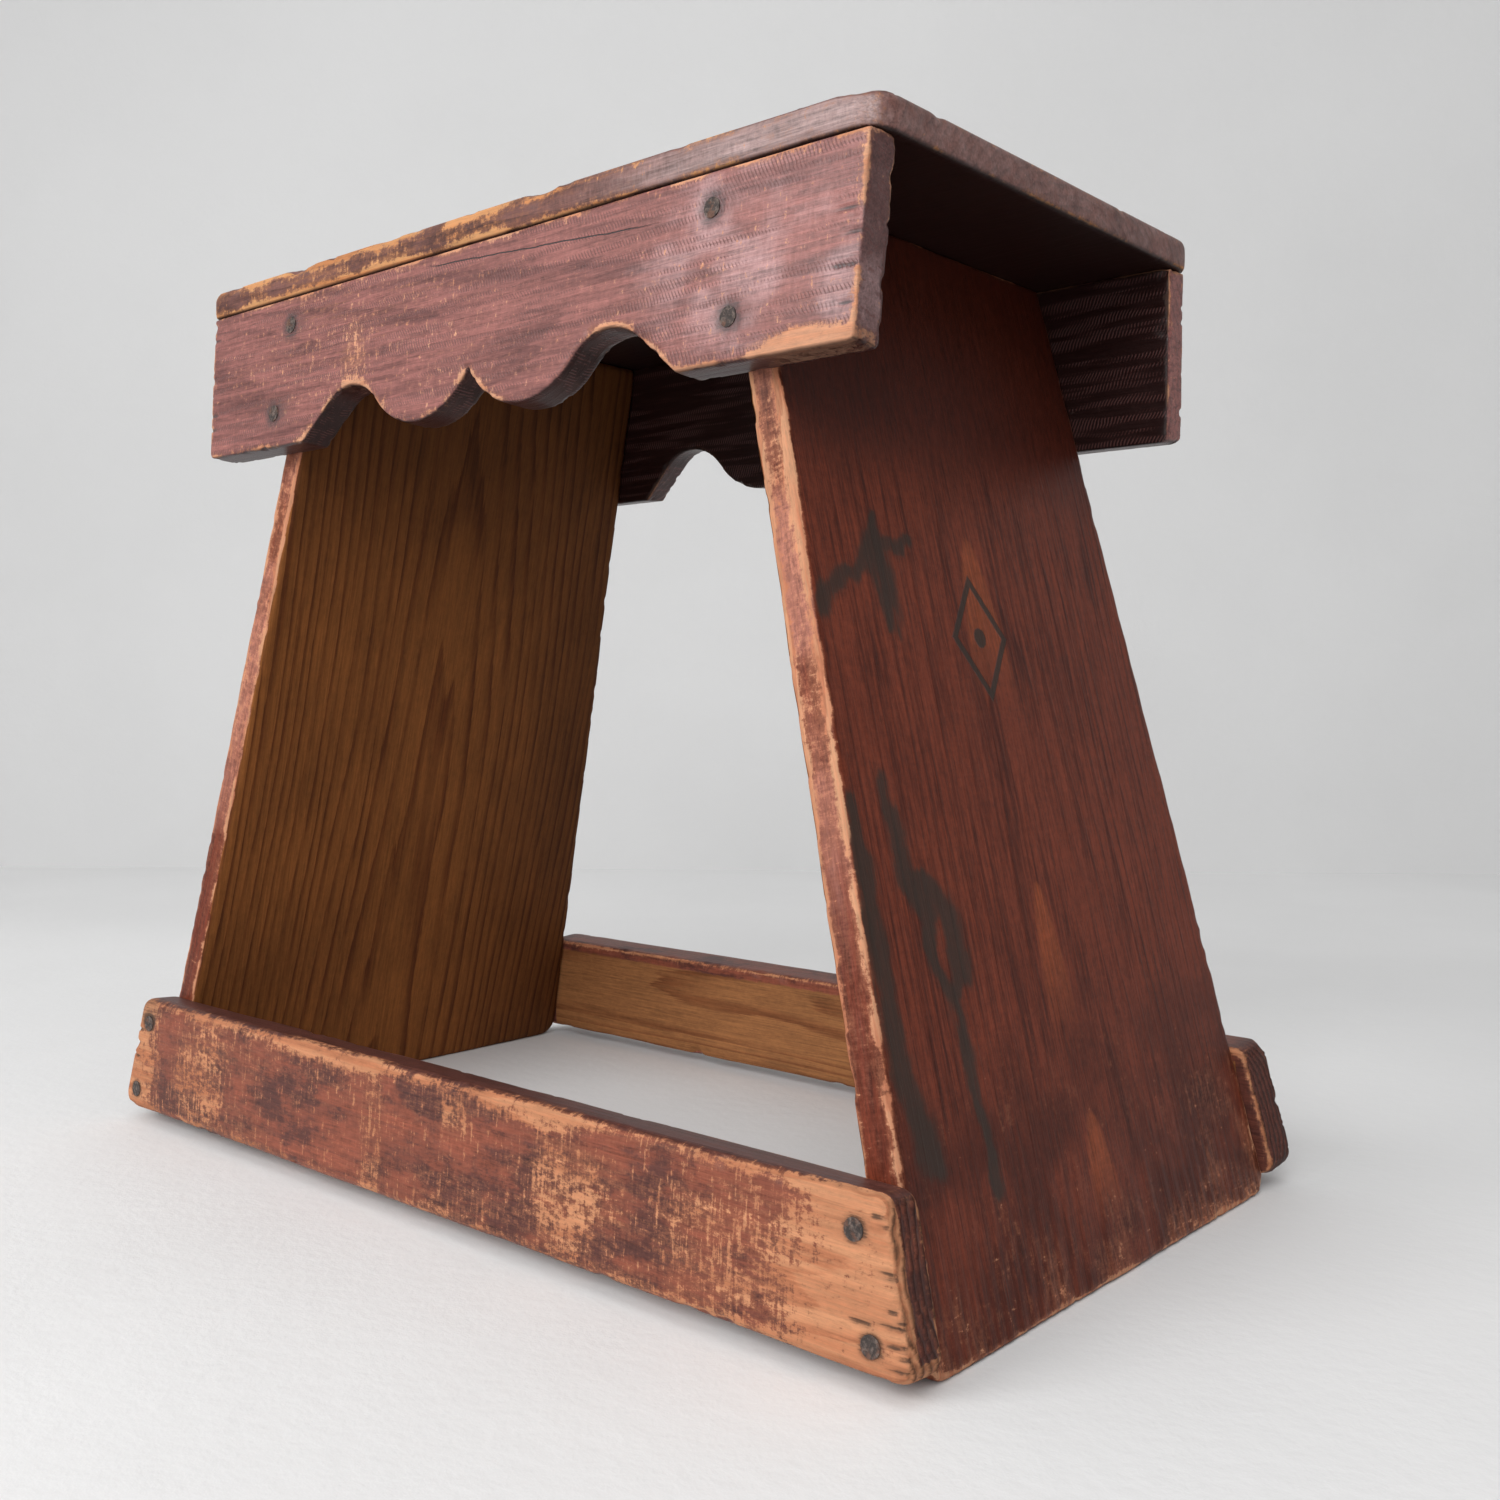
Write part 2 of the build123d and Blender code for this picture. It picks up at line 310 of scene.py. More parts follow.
    # marks: one number a vertex, from 0 to 1
    def convexity(self, passes, full):
        """1 on a sharp arris, falling to 0 on the flat."""
        smooth = self.start.copy()
        for _ in range(passes):
            smooth = self.neighbours(smooth)
        return np.clip(((self.start - smooth) * self.face).sum(1) / full, 0, 1)

    def rings(self, pith, tilt, pitch, seed):
        """How many growth rings out from the pith each vertex is.

        pith is (v, w) from the board's middle, and tilt is how much deeper the pith lies for each
        unit along the board, which is what draws the pointed figures on a face.
        """
        u, v, w = self.start.T
        wander = layered_noise(self.start, [160 * MM, 45 * MM, 60 * MM], seed, 3) - 0.5
        uneven = layered_noise(self.start, [500 * MM, 11 * MM, 11 * MM], seed + 3, 2) - 0.5
        bend = value_noise(self.start, [240 * MM, 400 * MM, 400 * MM], seed + 5) - 0.5
        across = v - pith[0] * MM + 14 * MM * bend
        deep = w - pith[1] * MM + tilt * u
        return (np.hypot(across, deep) + 7 * MM * wander + 5 * MM * uneven) / (pitch * MM)

    def patchy(self, lump, seed):
        """Clouds from 0 to 1, lump across."""
        return smooth_step(layered_noise(self.start, [lump] * 3, seed, 3), 0.38, 0.62)

    def facing(self, axis, sign, low=0.5, high=0.8):
        """1 where the surface looks along one of the board's axes."""
        return smooth_step(self.face[:, axis] * sign, low, high)

    def oval(self, u, v, reach_u, reach_v):
        """A soft oval on the outer face, in millimetres."""
        away_u = (self.start[:, 0] - u * MM) / (reach_u * MM)
        away_v = (self.start[:, 1] - v * MM) / (reach_v * MM)
        return (1 - smooth_step(np.hypot(away_u, away_v), 0.45, 1.0)) * (self.face[:, 2] > 0)

    def smear(self, path):
        """A ragged smear along (u, v, half width) points on the outer face, in millimetres."""
        spots = self.start[:, :2] / MM
        for axis, seed in ((0, 91), (1, 92)):
            sway = layered_noise(self.start, [13 * MM, 7 * MM, 7 * MM], seed, 3) - 0.5
            spots[:, axis] += 9 * sway
        mark = np.zeros(len(spots))
        for (u0, v0, r0), (u1, v1, r1) in zip(path, path[1:]):
            start, run = np.array([u0, v0]), np.array([u1 - u0, v1 - v0])
            part = np.clip((spots - start) @ run / (run @ run), 0, 1)
            away = np.linalg.norm(spots - start - np.outer(part, run), axis=1)
            away /= r0 + (r1 - r0) * part
            mark = np.maximum(mark, 0.85 - 0.85 * smooth_step(away, 0.3, 1.6))
        return mark * smooth_step(self.face[:, 2], 0.7, 0.95)

    def nail_stain(self, reach, drawn_out):
        """The dark iron stain round each nail head, drawn out along the grain."""
        mark = np.zeros(len(self.start))
        for head, _ in NAILS:
            away = (self.start - self.in_board(head)) / MM / reach
            away[:, 0] /= np.where(away[:, 0] > 0, drawn_out, 1.0)
            mark = np.maximum(mark, 1 - smooth_step(np.linalg.norm(away, axis=1), 0.35, 1.0))
        return mark

    def finish(self, slot, material, **marks):
        """Turns the board back into the frame, stores its marks and hands it over."""
        self.mesh.vertices.foreach_set("co", self.spots.ravel())
        grain = self.mesh.attributes.new("grain", "FLOAT_VECTOR", "POINT")
        grain.data.foreach_set("vector", self.start.ravel())
        for name in MARKS:
            mark = self.mesh.attributes.new(name, "FLOAT", "POINT")
            mark.data.foreach_set("value", marks.get(name, np.zeros(len(self.start))))
        turned = Matrix(self.axes).transposed().to_4x4()
        turned.translation = self.middle
        self.mesh.transform(turned)
        self.mesh.polygons.foreach_set("use_smooth", [True] * len(self.mesh.polygons))
        self.mesh.materials.clear()
        self.mesh.materials.append(material)
        piece = bpy.data.objects.new("worn_" + self.name, self.mesh)
        bpy.context.scene.collection.objects.link(piece)
        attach(piece, "root")
        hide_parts(self.name)


# ---------------------------------------------------------------- materials
class Graph:
    """A material being wired up from shader nodes."""

    def __init__(self, name):
        self.material = bpy.data.materials.new(name)
        self.material.use_nodes = True
        self.tree = self.material.node_tree
        self.shader = self.tree.nodes["Principled BSDF"]

    def node(self, kind, inputs, **settings):
        """A new shader node, with inputs by name or number."""
        node = self.tree.nodes.new("ShaderNode" + kind)
        for key, value in settings.items():
            setattr(node, key, value)
        for key, value in inputs.items():
            self.feed(node.inputs[key], value)
        return node

    def feed(self, socket, value):
        """Wires an output into a socket, or sets the socket to a constant."""
        if isinstance(value, bpy.types.NodeSocket):
            self.tree.links.new(value, socket)
        else:
            socket.default_value = value

    def attribute(self, name, output="Fac"):
        """One of the mesh's vertex attributes."""
        return self.node("Attribute", {}, attribute_name=name).outputs[output]

    def math(self, operation, a, b=0.0):
        """One arithmetic step."""
        return self.node("Math", {0: a, 1: b}, operation=operation).outputs[0]

    def total(self, constant, *pairs):
        """A constant plus each output times its weight."""
        result = constant
        for output, weight in pairs:
            step = self.node("Math", {0: output, 1: weight, 2: result}, operation="MULTIPLY_ADD")
            result = step.outputs[0]
        return result

    def step(self, value, low, high):
        """0 at low, 1 at high, eased between; low may be the larger."""
        ease = {"Value": value, "From Min": low, "From Max": high}
        return self.node("MapRange", ease, interpolation_type="SMOOTHSTEP").outputs["Result"]

    def noise(self, place, size, detail=3.0, rough=0.55):
        """Noise whose lumps are size millimetres across, one size for each axis."""
        stretch = [1000.0 / length for length in size]
        spread = self.node("VectorMath", {0: place, 1: stretch}, operation="MULTIPLY").outputs[0]
        pattern = {"Vector": spread, "Scale": 1.0, "Detail": detail, "Roughness": rough}
        return self.node("TexNoise", pattern).outputs["Fac"]

    def mix(self, share, a, b):
        """Colour a where share is 0, and b where it is 1."""
        colour = self.node("Mix", {0: share}, data_type="RGBA")
        for socket, value in ((colour.inputs[6], a), (colour.inputs[7], b)):
            self.feed(socket, (*value, 1.0) if isinstance(value, tuple) else value)
        return colour.outputs[2]

    def brighten(self, colour, amount):
        """A colour times an amount."""
        scaled = self.node("VectorMath", {0: colour, "Scale": amount}, operation="SCALE")
        return scaled.outputs[0]

    def surface(self, colour, roughness, height):
        """Ends the material: height is in millimetres."""
        bump = self.node("Bump", {"Strength": 1.0, "Distance": MM, "Height": height})
        self.feed(self.shader.inputs["Base Color"], colour)
        self.feed(self.shader.inputs["Roughness"], roughness)
        self.feed(self.shader.inputs["Normal"], bump.outputs["Normal"])
        return self.material


BARE_ROUGHNESS = 0.74  # of wood without paint, between its finest fibres


@dataclass
class Look:
    """What differs between the woods. Colours are linear RGB."""

    early: tuple = (0.25, 0.105, 0.04)  # bare wood that has aged, between its rings
    late: tuple = (0.085, 0.024, 0.008)  # and on them
    worn: tuple = (0.60, 0.31, 0.17)  # wood freshly rubbed out of the paint
    worn_deep: tuple = (0.42, 0.17, 0.08)
    coat: tuple = (0.29, 0.12, 0.105)  # paint
    # deeper paint, which the deep mark also uses for painted shade on undersides and inner faces
    deep_coat_and_shade: tuple = (0.17, 0.07, 0.065)
    # paler paint, which the pale mark also uses for a painted sheen on the aprons and the seat's front
    # edge
    pale_coat_and_sheen: tuple = (0.40, 0.22, 0.19)
    glow: tuple = (0.30, 0.08, 0.03)
    dirt: tuple = (0.032, 0.024, 0.019)
    # near black: painted shade on sheltered faces, and the dark rings of end grain
    grime: tuple = (0.008, 0.0012, 0.0008)
    ring_show: float = 0.35  # how far the rings show through the paint
    threads: float = 0.6  # how strongly fine dark threads run along the grain
    patches: float = 0.5  # how far deep paint gathers in patches
    patch_size: tuple = (40, 16, 16)  # millimetres along, across and out
    flakes: float = 0.5  # how ragged the worn places are
    scratches: float = 0.5  # fresh scratches across the grain
    scratch_length: float = 5.0  # how long they are, in millimetres
    chatter: float = 0.0  # rows of planer ticks
    gloss: float = 0.42  # roughness of the paint
    sheen: float = 0.4  # specular level


class Grain:
    """The patterns along a board's grain that its material is made of."""

    def __init__(self, g, look, rings):
        scratch_size = (1.4, look.scratch_length, look.scratch_length)
        self.place = g.attribute("grain", "Vector")
        self.fibre = g.noise(self.place, (26, 0.9, 0.9), 3, 0.75)
        self.streak = g.noise(self.place, (110, 5, 5), 4, 0.65)
        self.cloud = g.noise(self.place, (60, 30, 30), 6, 0.65)
        self.thread = g.noise(self.place, (38, 1.8, 1.8), 3, 0.7)
        self.speck = g.noise(self.place, (4.0, 2.2, 2.2), 6, 0.8)
        self.across = g.noise(self.place, scratch_size, 4, 0.7)
        turn = g.math("FRACT", g.total(rings, (self.streak, 0.5), (self.fibre, 0.12)))
        late = g.math("MULTIPLY", g.step(turn, 0.42, 0.94), g.step(turn, 1.0, 0.95))
        self.late = g.math("MULTIPLY", late, g.step(self.streak, 0.25, 0.6))


def aged_wood(g, look, grain):
    """Wood that never had paint, darkened by age."""
    colour = g.mix(grain.late, look.early, look.late)
    light = g.total(-0.55, (grain.fibre, 1.4), (grain.cloud, 0.9), (grain.speck, 0.8))
    return g.brighten(colour, light)


def fresh_wood(g, look, grain):
    """Wood where the paint has gone."""
    rough = ((grain.streak, 1.2), (grain.fibre, 0.8), (grain.speck, 0.5))
    deep = g.total(-0.75, (grain.late, 0.5), *rough)
    colour = g.mix(g.step(deep, 0.0, 1.0), look.worn, look.worn_deep)
    return g.brighten(colour, g.total(-0.15, (grain.speck, 1.0), (grain.fibre, 1.3)))


def paint(g, look, grain, marks):
    """Unworn paint: deeper over the rings and in patches, paler and warmer where the marks say."""
    gathered = g.step(g.noise(grain.place, look.patch_size, 8, 0.72), 0.44, 0.66)
    uneven = ((grain.cloud, 0.6), (grain.streak, 0.6), (grain.fibre, 0.7))
    shade = g.total(-0.75, (grain.late, look.ring_show), *uneven)
    gathers = ((gathered, look.patches), (grain.thread, look.threads))
    shade = g.total(-0.5 * look.threads, (shade, 1.0), *gathers)
    # the deep mark also paints shade on undersides and inner faces
    shade = g.step(g.math("MAXIMUM", shade, marks["deep"]), -0.05, 1.0)
    coat = g.mix(shade, look.coat, look.deep_coat_and_shade)
    # the pale mark also paints a sheen on the aprons and the seat's front edge
    lift = g.total(-0.6, (marks["pale"], 1.0), (grain.streak, 0.5), (grain.across, 0.4))
    coat = g.mix(g.step(lift, 0.0, 1.0), coat, look.pale_coat_and_sheen)
    warmth = g.math("MULTIPLY", marks["glow"], g.total(0.35, (grain.fibre, 0.9)))
    coat = g.mix(warmth, coat, look.glow)
    light = g.total(-1.0, (grain.speck, 1.4), (grain.fibre, 2.0), (grain.across, 0.6))
    return g.brighten(coat, light)


def worn_paint(g, look, grain, bare, coat):
    """The paint, dark and thin round its worn places, and how far it is worn through."""
    ragged = look.flakes
    flaking = ((grain.cloud, ragged), (grain.speck, 1.5 * ragged), (grain.across, 0.7 * ragged))
    wear = g.total(-1.6 * ragged, (bare, 1.0), *flaking)
    rare = 0.70 - 0.1 * look.scratches
    scratch = g.total(0.0, (grain.across, 0.6), (grain.speck, 0.4), (bare, 0.25))
    scratch = g.math("MULTIPLY", g.step(scratch, rare, rare + 0.04), 0.8)
    through = g.math("MAXIMUM", g.step(wear, 0.43, 0.56), scratch)
    rim = g.math("MULTIPLY", g.step(wear, 0.22, 0.36), g.step(wear, 0.46, 0.36))
    coat = g.mix(g.math("MULTIPLY", rim, 0.3), coat, look.deep_coat_and_shade)
    thin = g.step(g.total(0.0, (wear, 1.0), (grain.thread, 0.5)), 0.45, 0.78)
    coat = g.mix(g.math("MULTIPLY", thin, 0.4), coat, look.worn_deep)
    return coat, through


def stains(g, grain, dirt):
    """How much of the colour the dirt hides: it is ragged along the fibres."""
    rough = ((grain.fibre, 1.2), (grain.speck, 1.1), (grain.cloud, 0.5))
    soaked = g.step(g.total(-1.5, (dirt, 1.0), *rough), 0.2, 0.72)
    return g.total(0.0, (soaked, 0.68), (dirt, 0.2))


def wood(name, look, crack=None, brand=None):
    """Paint over wood, worn through where the board's marks say."""
    g = Graph(name)
    marks = {mark: g.attribute(mark) for mark in MARKS}
    grain = Grain(g, look, marks["rings"])
    coat, through = worn_paint(g, look, grain, marks["bare"], paint(g, look, grain, marks))
    covered = g.total(marks["painted"], (grain.speck, 0.5), (grain.streak, 0.3))
    covered = g.step(covered, 0.8, 0.95)
    colour = g.mix(through, coat, fresh_wood(g, look, grain))
    colour = g.mix(covered, aged_wood(g, look, grain), colour)
    colour = g.mix(stains(g, grain, marks["dirt"]), colour, look.dirt)
    # painted shade: sheltered faces are darkened towards near black; on the stretchers' ends this draws
    # their dark end-grain rings
    colour = g.mix(marks["grime"], colour, look.grime)

    coated = g.math("MULTIPLY", covered, g.math("SUBTRACT", 1.0, through))
    relief = ((grain.late, 0.05), (grain.fibre, 0.14), (grain.speck, 0.05))
    height = g.total(0.0, (coated, 0.05), *relief)
    if look.chatter:
        ticks, rows = planer_ticks(g, grain.place)
        cut = g.math("MULTIPLY", g.math("MULTIPLY", ticks, rows), coated)
        height = g.total(height, (cut, -0.06 * look.chatter))
        colour = g.mix(g.math("MULTIPLY", cut, 0.55 * look.chatter), colour, look.deep_coat_and_shade)
    if crack:
        split = split_line(g, grain.place, crack)
        height = g.total(height, (split, -0.5))
        colour = g.mix(split, colour, look.dirt)
    if brand:
        burnt = burnt_lozenge(g, grain.place, brand, grain.speck)
        height = g.total(height, (burnt, -0.25))
        colour = g.mix(g.math("MULTIPLY", burnt, 0.9), colour, look.dirt)
    g.shader.inputs["Specular IOR Level"].default_value = look.sheen
    fibre_share = 0.24
    even = BARE_ROUGHNESS - fibre_share / 2
    roughness = g.total(even, (coated, look.gloss - BARE_ROUGHNESS), (grain.fibre, fibre_share))
    return g.surface(colour, roughness, height)


def planer_ticks(g, place):
    """Slanting ticks left by a chattering planer, and the rows they lie in."""
    along, across, _ = g.node("SeparateXYZ", {0: place}).outputs
    pitch = 1.5 * MM
    sway = g.noise(place, (25, 8, 8), 2)
    phase = g.total(0.0, (along, 2 * math.pi / pitch), (across, math.pi / pitch), (sway, 14.0))
    ticks = g.step(g.math("SINE", phase), 0.0, 0.9)
    rows = g.step(g.noise(place, (60, 3.4, 3.4), 2, 0.5), 0.47, 0.60)
    return ticks, rows


def split_line(g, place, crack):
    """A thin split along the grain from one (u, v) to another, in millimetres, on the outer face."""
    (u0, v0), (u1, v1) = crack
    along, across, out = g.node("SeparateXYZ", {0: place}).outputs
    wobble = g.noise(place, (22, 50, 50), 4, 0.6)
    slope = (v1 - v0) / (u1 - u0)
    line = g.total((slope * u0 - v0 - 1.2) * MM, (across, 1.0), (along, -slope), (wobble, 2.4 * MM))
    thin = g.step(g.math("ABSOLUTE", line), 0.3 * MM, 0.1 * MM)
    begun = g.step(along, u0 * MM, (u0 + 12) * MM)
    ended = g.step(along, u1 * MM, (u1 - 25) * MM)
    seen = g.math("MULTIPLY", thin, g.step(out, 0, MM))
    return g.math("MULTIPLY", seen, g.math("MULTIPLY", begun, ended))


def burnt_lozenge(g, place, brand, speck):
    """A plain burnt lozenge with a dot in it, of (u, v, half height, half width) in millimetres."""
    u, v, tall, wide = (length * MM for length in brand)
    along, across, out = g.node("SeparateXYZ", {0: place}).outputs
    up = g.math("ABSOLUTE", g.math("SUBTRACT", along, u))
    aside = g.math("ABSOLUTE", g.math("SUBTRACT", across, v))
    ring = g.total(-1.04, (up, 1 / tall), (aside, 1 / wide), (speck, 0.08))
    outline = g.step(g.math("ABSOLUTE", ring), 0.14, 0.08)
    squares = ((g.math("POWER", up, 2.0), 1.0), (g.math("POWER", aside, 2.0), 1.0))
    spread = g.math("SQRT", g.total(0.0, *squares))
    dot = g.step(g.total(spread, (speck, 1.2 * MM)), 4.6 * MM, 3.8 * MM)
    return g.math("MULTIPLY", g.math("MAXIMUM", outline, dot), g.step(out, 0, MM))


def rusty_iron(name):
    """Old nail heads: almost black, crusted with brown rust."""
    g = Graph(name)
    place = g.node("TexCoord", {}).outputs["Object"]
    crust = g.noise(place, (1.6, 1.6, 1.6), 4, 0.65)
    bloom = g.noise(place, (4, 4, 4), 3, 0.6)
    dark, grey, rust = (0.035, 0.025, 0.022), (0.17, 0.125, 0.105), (0.14, 0.06, 0.036)
    colour = g.mix(g.step(crust, 0.42, 0.7), dark, grey)
    colour = g.mix(g.math("MULTIPLY", g.step(bloom, 0.5, 0.62), 0.7), colour, rust)
    g.shader.inputs["Metallic"].default_value = 0.2
    return g.surface(colour, g.total(0.45, (crust, 0.4)), g.total(0.0, (crust, 0.9), (bloom, 0.5)))


# ---------------------------------------------------------------- the seat
def wear_seat():
    """The seat: its long edges are worn to the wood, its underside is dark with painted shade, and a
    painted sheen lightens its right end and the right of its front edge.
    """
    board = Board("seat_board", (1, 0, 0), (0, 0, 1), COARSE)
    board.rub(3, least=0.3, most=0.6, lump=[30 * MM] * 3, seed=3)
    board.chip(60, seed=11, size=2.2 * MM, depth=0.6 * MM)
    top_front = (board.face[:, 1] < -0.2) & (board.face[:, 2] > 0.2)
    board.chip(10, seed=12, size=4.0 * MM, depth=1.3 * MM, where=top_front)
    look = Look(
        coat=(0.18, 0.078, 0.064),
        deep_coat_and_shade=(0.065, 0.024, 0.019),
        # pale greyish paint, used here for a painted sheen
        pale_coat_and_sheen=(0.36, 0.26, 0.25),
        worn=(0.60, 0.32, 0.14),
        worn_deep=(0.40, 0.16, 0.06),
        flakes=0.75,
        sheen=0.3,
    )
    towards_right = smooth_step(board.start[:, 0], 0, 150 * MM)
    rim = board.facing(1, -1, 0.3, 0.6) * (0.14 + 0.2 * board.patchy(30 * MM, 8))
    rim = rim * (1 - 0.5 * towards_right)
    sat_on = board.oval(0, 0, 200, 110) * 0.22
    board.finish(
        "seat_wood",
        wood("worn_seat_wood", look),
        rings=board.rings(pith=(12, -55), tilt=0.03, pitch=3.6, seed=21),
        bare=board.convex * (0.18 + 0.45 * board.patchy(25 * MM, 4)) + rim + sat_on,
        painted=np.ones(len(board.start)),
        # painted shade: the underside is darker
        deep=board.facing(2, -1) * 1.1,
        # painted sheen: the right end and the right of the front edge are paler
        pale=board.facing(0, 1) * 0.4 + board.facing(1, -1) * towards_right * 0.8,
        # more painted shade on the underside
        grime=board.facing(2, -1) * 0.9,
    )


# ---------------------------------------------------------------- the aprons
APRON_LOOK = Look(
    coat=(0.27, 0.102, 0.088),
    deep_coat_and_shade=(0.115, 0.042, 0.038),
    # pale mauve paint, used mostly for a painted sheen
    pale_coat_and_sheen=(0.43, 0.27, 0.27),
    worn=(0.62, 0.33, 0.20),
    worn_deep=(0.45, 0.19, 0.10),
    ring_show=0.35,
    threads=1.3,
    patches=0.35,
    patch_size=(110, 6, 6),
    flakes=0.6,
    scratches=0.85,
    chatter=1.3,
    dirt=(0.040, 0.035, 0.037),
    gloss=0.38,
)


def wear_apron(node, along, out, seed, knocked, crack):
    """An apron: dusty paint with planer ticks, worn along its scallops and ends, with painted shade on
    its inner face, underside and one end, and a painted sheen towards one end of its outer face.

    knocked is how much of the front apron's own knocks it shows.
    """
    board = Board(node, along, out, FINE)
    board.rub(2, least=0.2, most=0.8, lump=[18 * MM] * 3, seed=seed)
    low = board.start[:, 1] < 15 * MM
    tips = np.abs(board.start[:, 0]) > 180 * MM
    board.chip(90, seed, size=1.5 * MM, depth=0.6 * MM, where=low)
    board.chip(16, seed + 300, size=2.2 * MM, depth=0.9 * MM, where=tips)
    board.sink_nails(0.5 * MM)
    split_end(board, seed, splits=9)
    foot = board.oval(165, -30, 30, 7) * 0.5
    left_end = board.oval(-187, -4, 5, 30) * 0.42
    struck = board.oval(-74, -4, 11, 26) * 0.2
    rough_left = board.oval(-70, 5, 120, 40) * 0.11
    flecked = board.facing(2, 1) * 0.09 + rough_left + board.oval(140, -5, 60, 30) * 0.05
    knocks = (foot + left_end + struck) * knocked
    board.finish(
        "apron_wood",
        wood("worn_" + node + "_wood", APRON_LOOK, crack),
        rings=board.rings(pith=(-10, -70), tilt=0.05, pitch=4.2, seed=seed),
        bare=board.convex * (0.1 + 0.55 * board.patchy(14 * MM, seed)) + knocks + flecked,
        painted=np.ones(len(board.start)),
        # painted shade: darker on the inner face, the underside and the end at +u
        deep=board.facing(2, -1) + board.facing(1, -1) + board.facing(0, 1) * 0.9,
        # painted sheen towards one end of the outer face
        pale=board.oval(160, 8, 100, 60) * (0.3 + 0.4 * board.patchy(20 * MM, seed + 2)),
        dirt=board.nail_stain(11, 1.9) * 0.45 + board.cuts,
        # more painted shade on the inner face, the underside and the end at +u
        grime=board.facing(2, -1) * 0.92 + board.facing(1, -1) * 0.75 + board.facing(0, 1) * 0.35,
    )


# ---------------------------------------------------------------- the side panels
PANEL_LOOK = Look(
    coat=(0.165, 0.034, 0.016),
    deep_coat_and_shade=(0.055, 0.010, 0.005),
    pale_coat_and_sheen=(0.40, 0.165, 0.125),
    glow=(0.26, 0.062, 0.022),
    worn=(0.60, 0.33, 0.19),
    worn_deep=(0.40, 0.15, 0.08),
    early=(0.225, 0.079, 0.020),
    late=(0.105, 0.030, 0.008),
    ring_show=0.3,
    threads=2.0,
    patches=0.3,
    patch_size=(90, 12, 12),
    flakes=0.5,
    scratches=0.3,
    gloss=0.42,
    sheen=0.15,
)


def pointed_figure(board, tip, middle, length, width):
    """The warm glow inside one pointed figure of the grain, below its tip."""
    down = (tip * MM - board.start[:, 0]) / (length * MM)
    reach = width * MM * np.sqrt(np.clip(down, 0, 1))
    away = np.abs(board.start[:, 1] - middle * MM)
    inside = 1 - smooth_step(away, reach - 0.8 * MM, reach + 0.8 * MM)
    return inside * (down > 0) * (1 - smooth_step(down, 0.5, 1.3)) * (board.face[:, 2] > 0)


def panel_stains(board):
    """Black grease: a forked splash high up, a long run below it and a line down the front edge."""
    marks = [
        board.smear([(74, 61, 2), (60, 63, 8), (34, 62, 3)]),
        board.smear([(62, 60, 4), (68, 43, 3)]),
        board.smear([(58, 70, 4), (54, 84, 4), (42, 98, 5)]),
        board.smear([(-17, 88, 4), (-30, 82, 6), (-46, 81, 6), (-60, 74, 4)]),
        board.smear(
            [(-46, 78, 5), (-58, 64, 7), (-78, 63, 6), (-86, 71, 4), (-74, 78, 4), (-60, 74, 3)]
        ),
        board.smear([(-86, 71, 4), (-106, 68, 4), (-122, 68, 4), (-148, 66, 4)]),
        board.smear([(-20, 103, 4), (-60, 105, 6), (-105, 104, 7), (-132, 97, 7)]),
    ]
    return np.max(marks, axis=0)


def wear_panel(node, along, out, seed, outside):
    """A side panel: mahogany coloured paint outside, bare wood with strong rings inside."""
    board = Board(node, along, out, COARSE)
    board.rub(3, least=0.2, most=0.9, lump=[25 * MM] * 3, seed=seed)
    board.chip(50, seed, size=1.9 * MM, depth=0.6 * MM, where=board.start[:, 0] < 150 * MM)
    board.sink_nails(0.4 * MM)
    rings = board.rings(pith=(-4, -62), tilt=0.035, pitch=4.3, seed=seed)
    edges = np.maximum(board.facing(1, 1), board.facing(1, -1))
    foot = smooth_step(-board.start[:, 0], 165 * MM, 185 * MM) * board.facing(2, 1)
    rubbed_corner = smooth_step(-board.start[:, 0] - board.start[:, 1] * 0.9, 175 * MM, 290 * MM)
    rubbed = board.convex * (0.2 + 0.5 * board.patchy(20 * MM, seed))
    weathered = smooth_step(-board.start[:, 0], 130 * MM, 185 * MM)
    low = smooth_step(-board.start[:, 0], 40 * MM, 150 * MM) * board.facing(2, 1)
    flecked = low * (0.08 + 0.14 * board.patchy(14 * MM, seed + 8))
    board.erode(rings, weathered * board.facing(2, 1), 0.35 * MM)
    marks = outside(board)
    marks["deep"] = marks["deep"] + low * (0.3 + 0.45 * board.patchy(22 * MM, seed + 6))
    high = smooth_step(board.start[:, 0], -110 * MM, 20 * MM)
    board.finish(
        "panel_wood",
        wood("worn_" + node + "_wood", PANEL_LOOK, brand=marks.pop("brand", None)),
        rings=rings,
        bare=rubbed + edges * (0.2 + 0.2 * high) + foot * 0.12 + rubbed_corner * 0.12 + flecked,
        painted=1 - board.facing(2, -1, 0.4, 0.7),
        pale=edges * (0.2 + 0.75 * high * board.patchy(35 * MM, seed + 4)),
        **marks,
    )


def inner_face_shade(board, rear):
    """Painted shade: the inner face is darkened towards the rear and under the seat."""
    back = smooth_step(board.start[:, 1] * rear, 10 * MM, 110 * MM) * 0.45
    top = smooth_step(board.start[:, 0], 20 * MM, 170 * MM) * 0.5
    return np.maximum(back, top) * board.facing(2, -1)


def right_outside(board):
    """The right panel's marks: grease, three warm figures and the burnt lozenge."""
    glow = (
        pointed_figure(board, 71, 6, 50, 13)
        + pointed_figure(board, -54, 7, 45, 9)
        + pointed_figure(board, -135, 3, 30, 9)
    )
    return {
        "dirt": panel_stains(board),
        "glow": glow * 0.8,
        "deep": smooth_step(board.start[:, 0], 50 * MM, 140 * MM) * 1.1 * (board.face[:, 2] > 0),
        # painted shade on the inner face
        "grime": inner_face_shade(board, -1),
        "brand": (34, 10, 21, 16),
    }


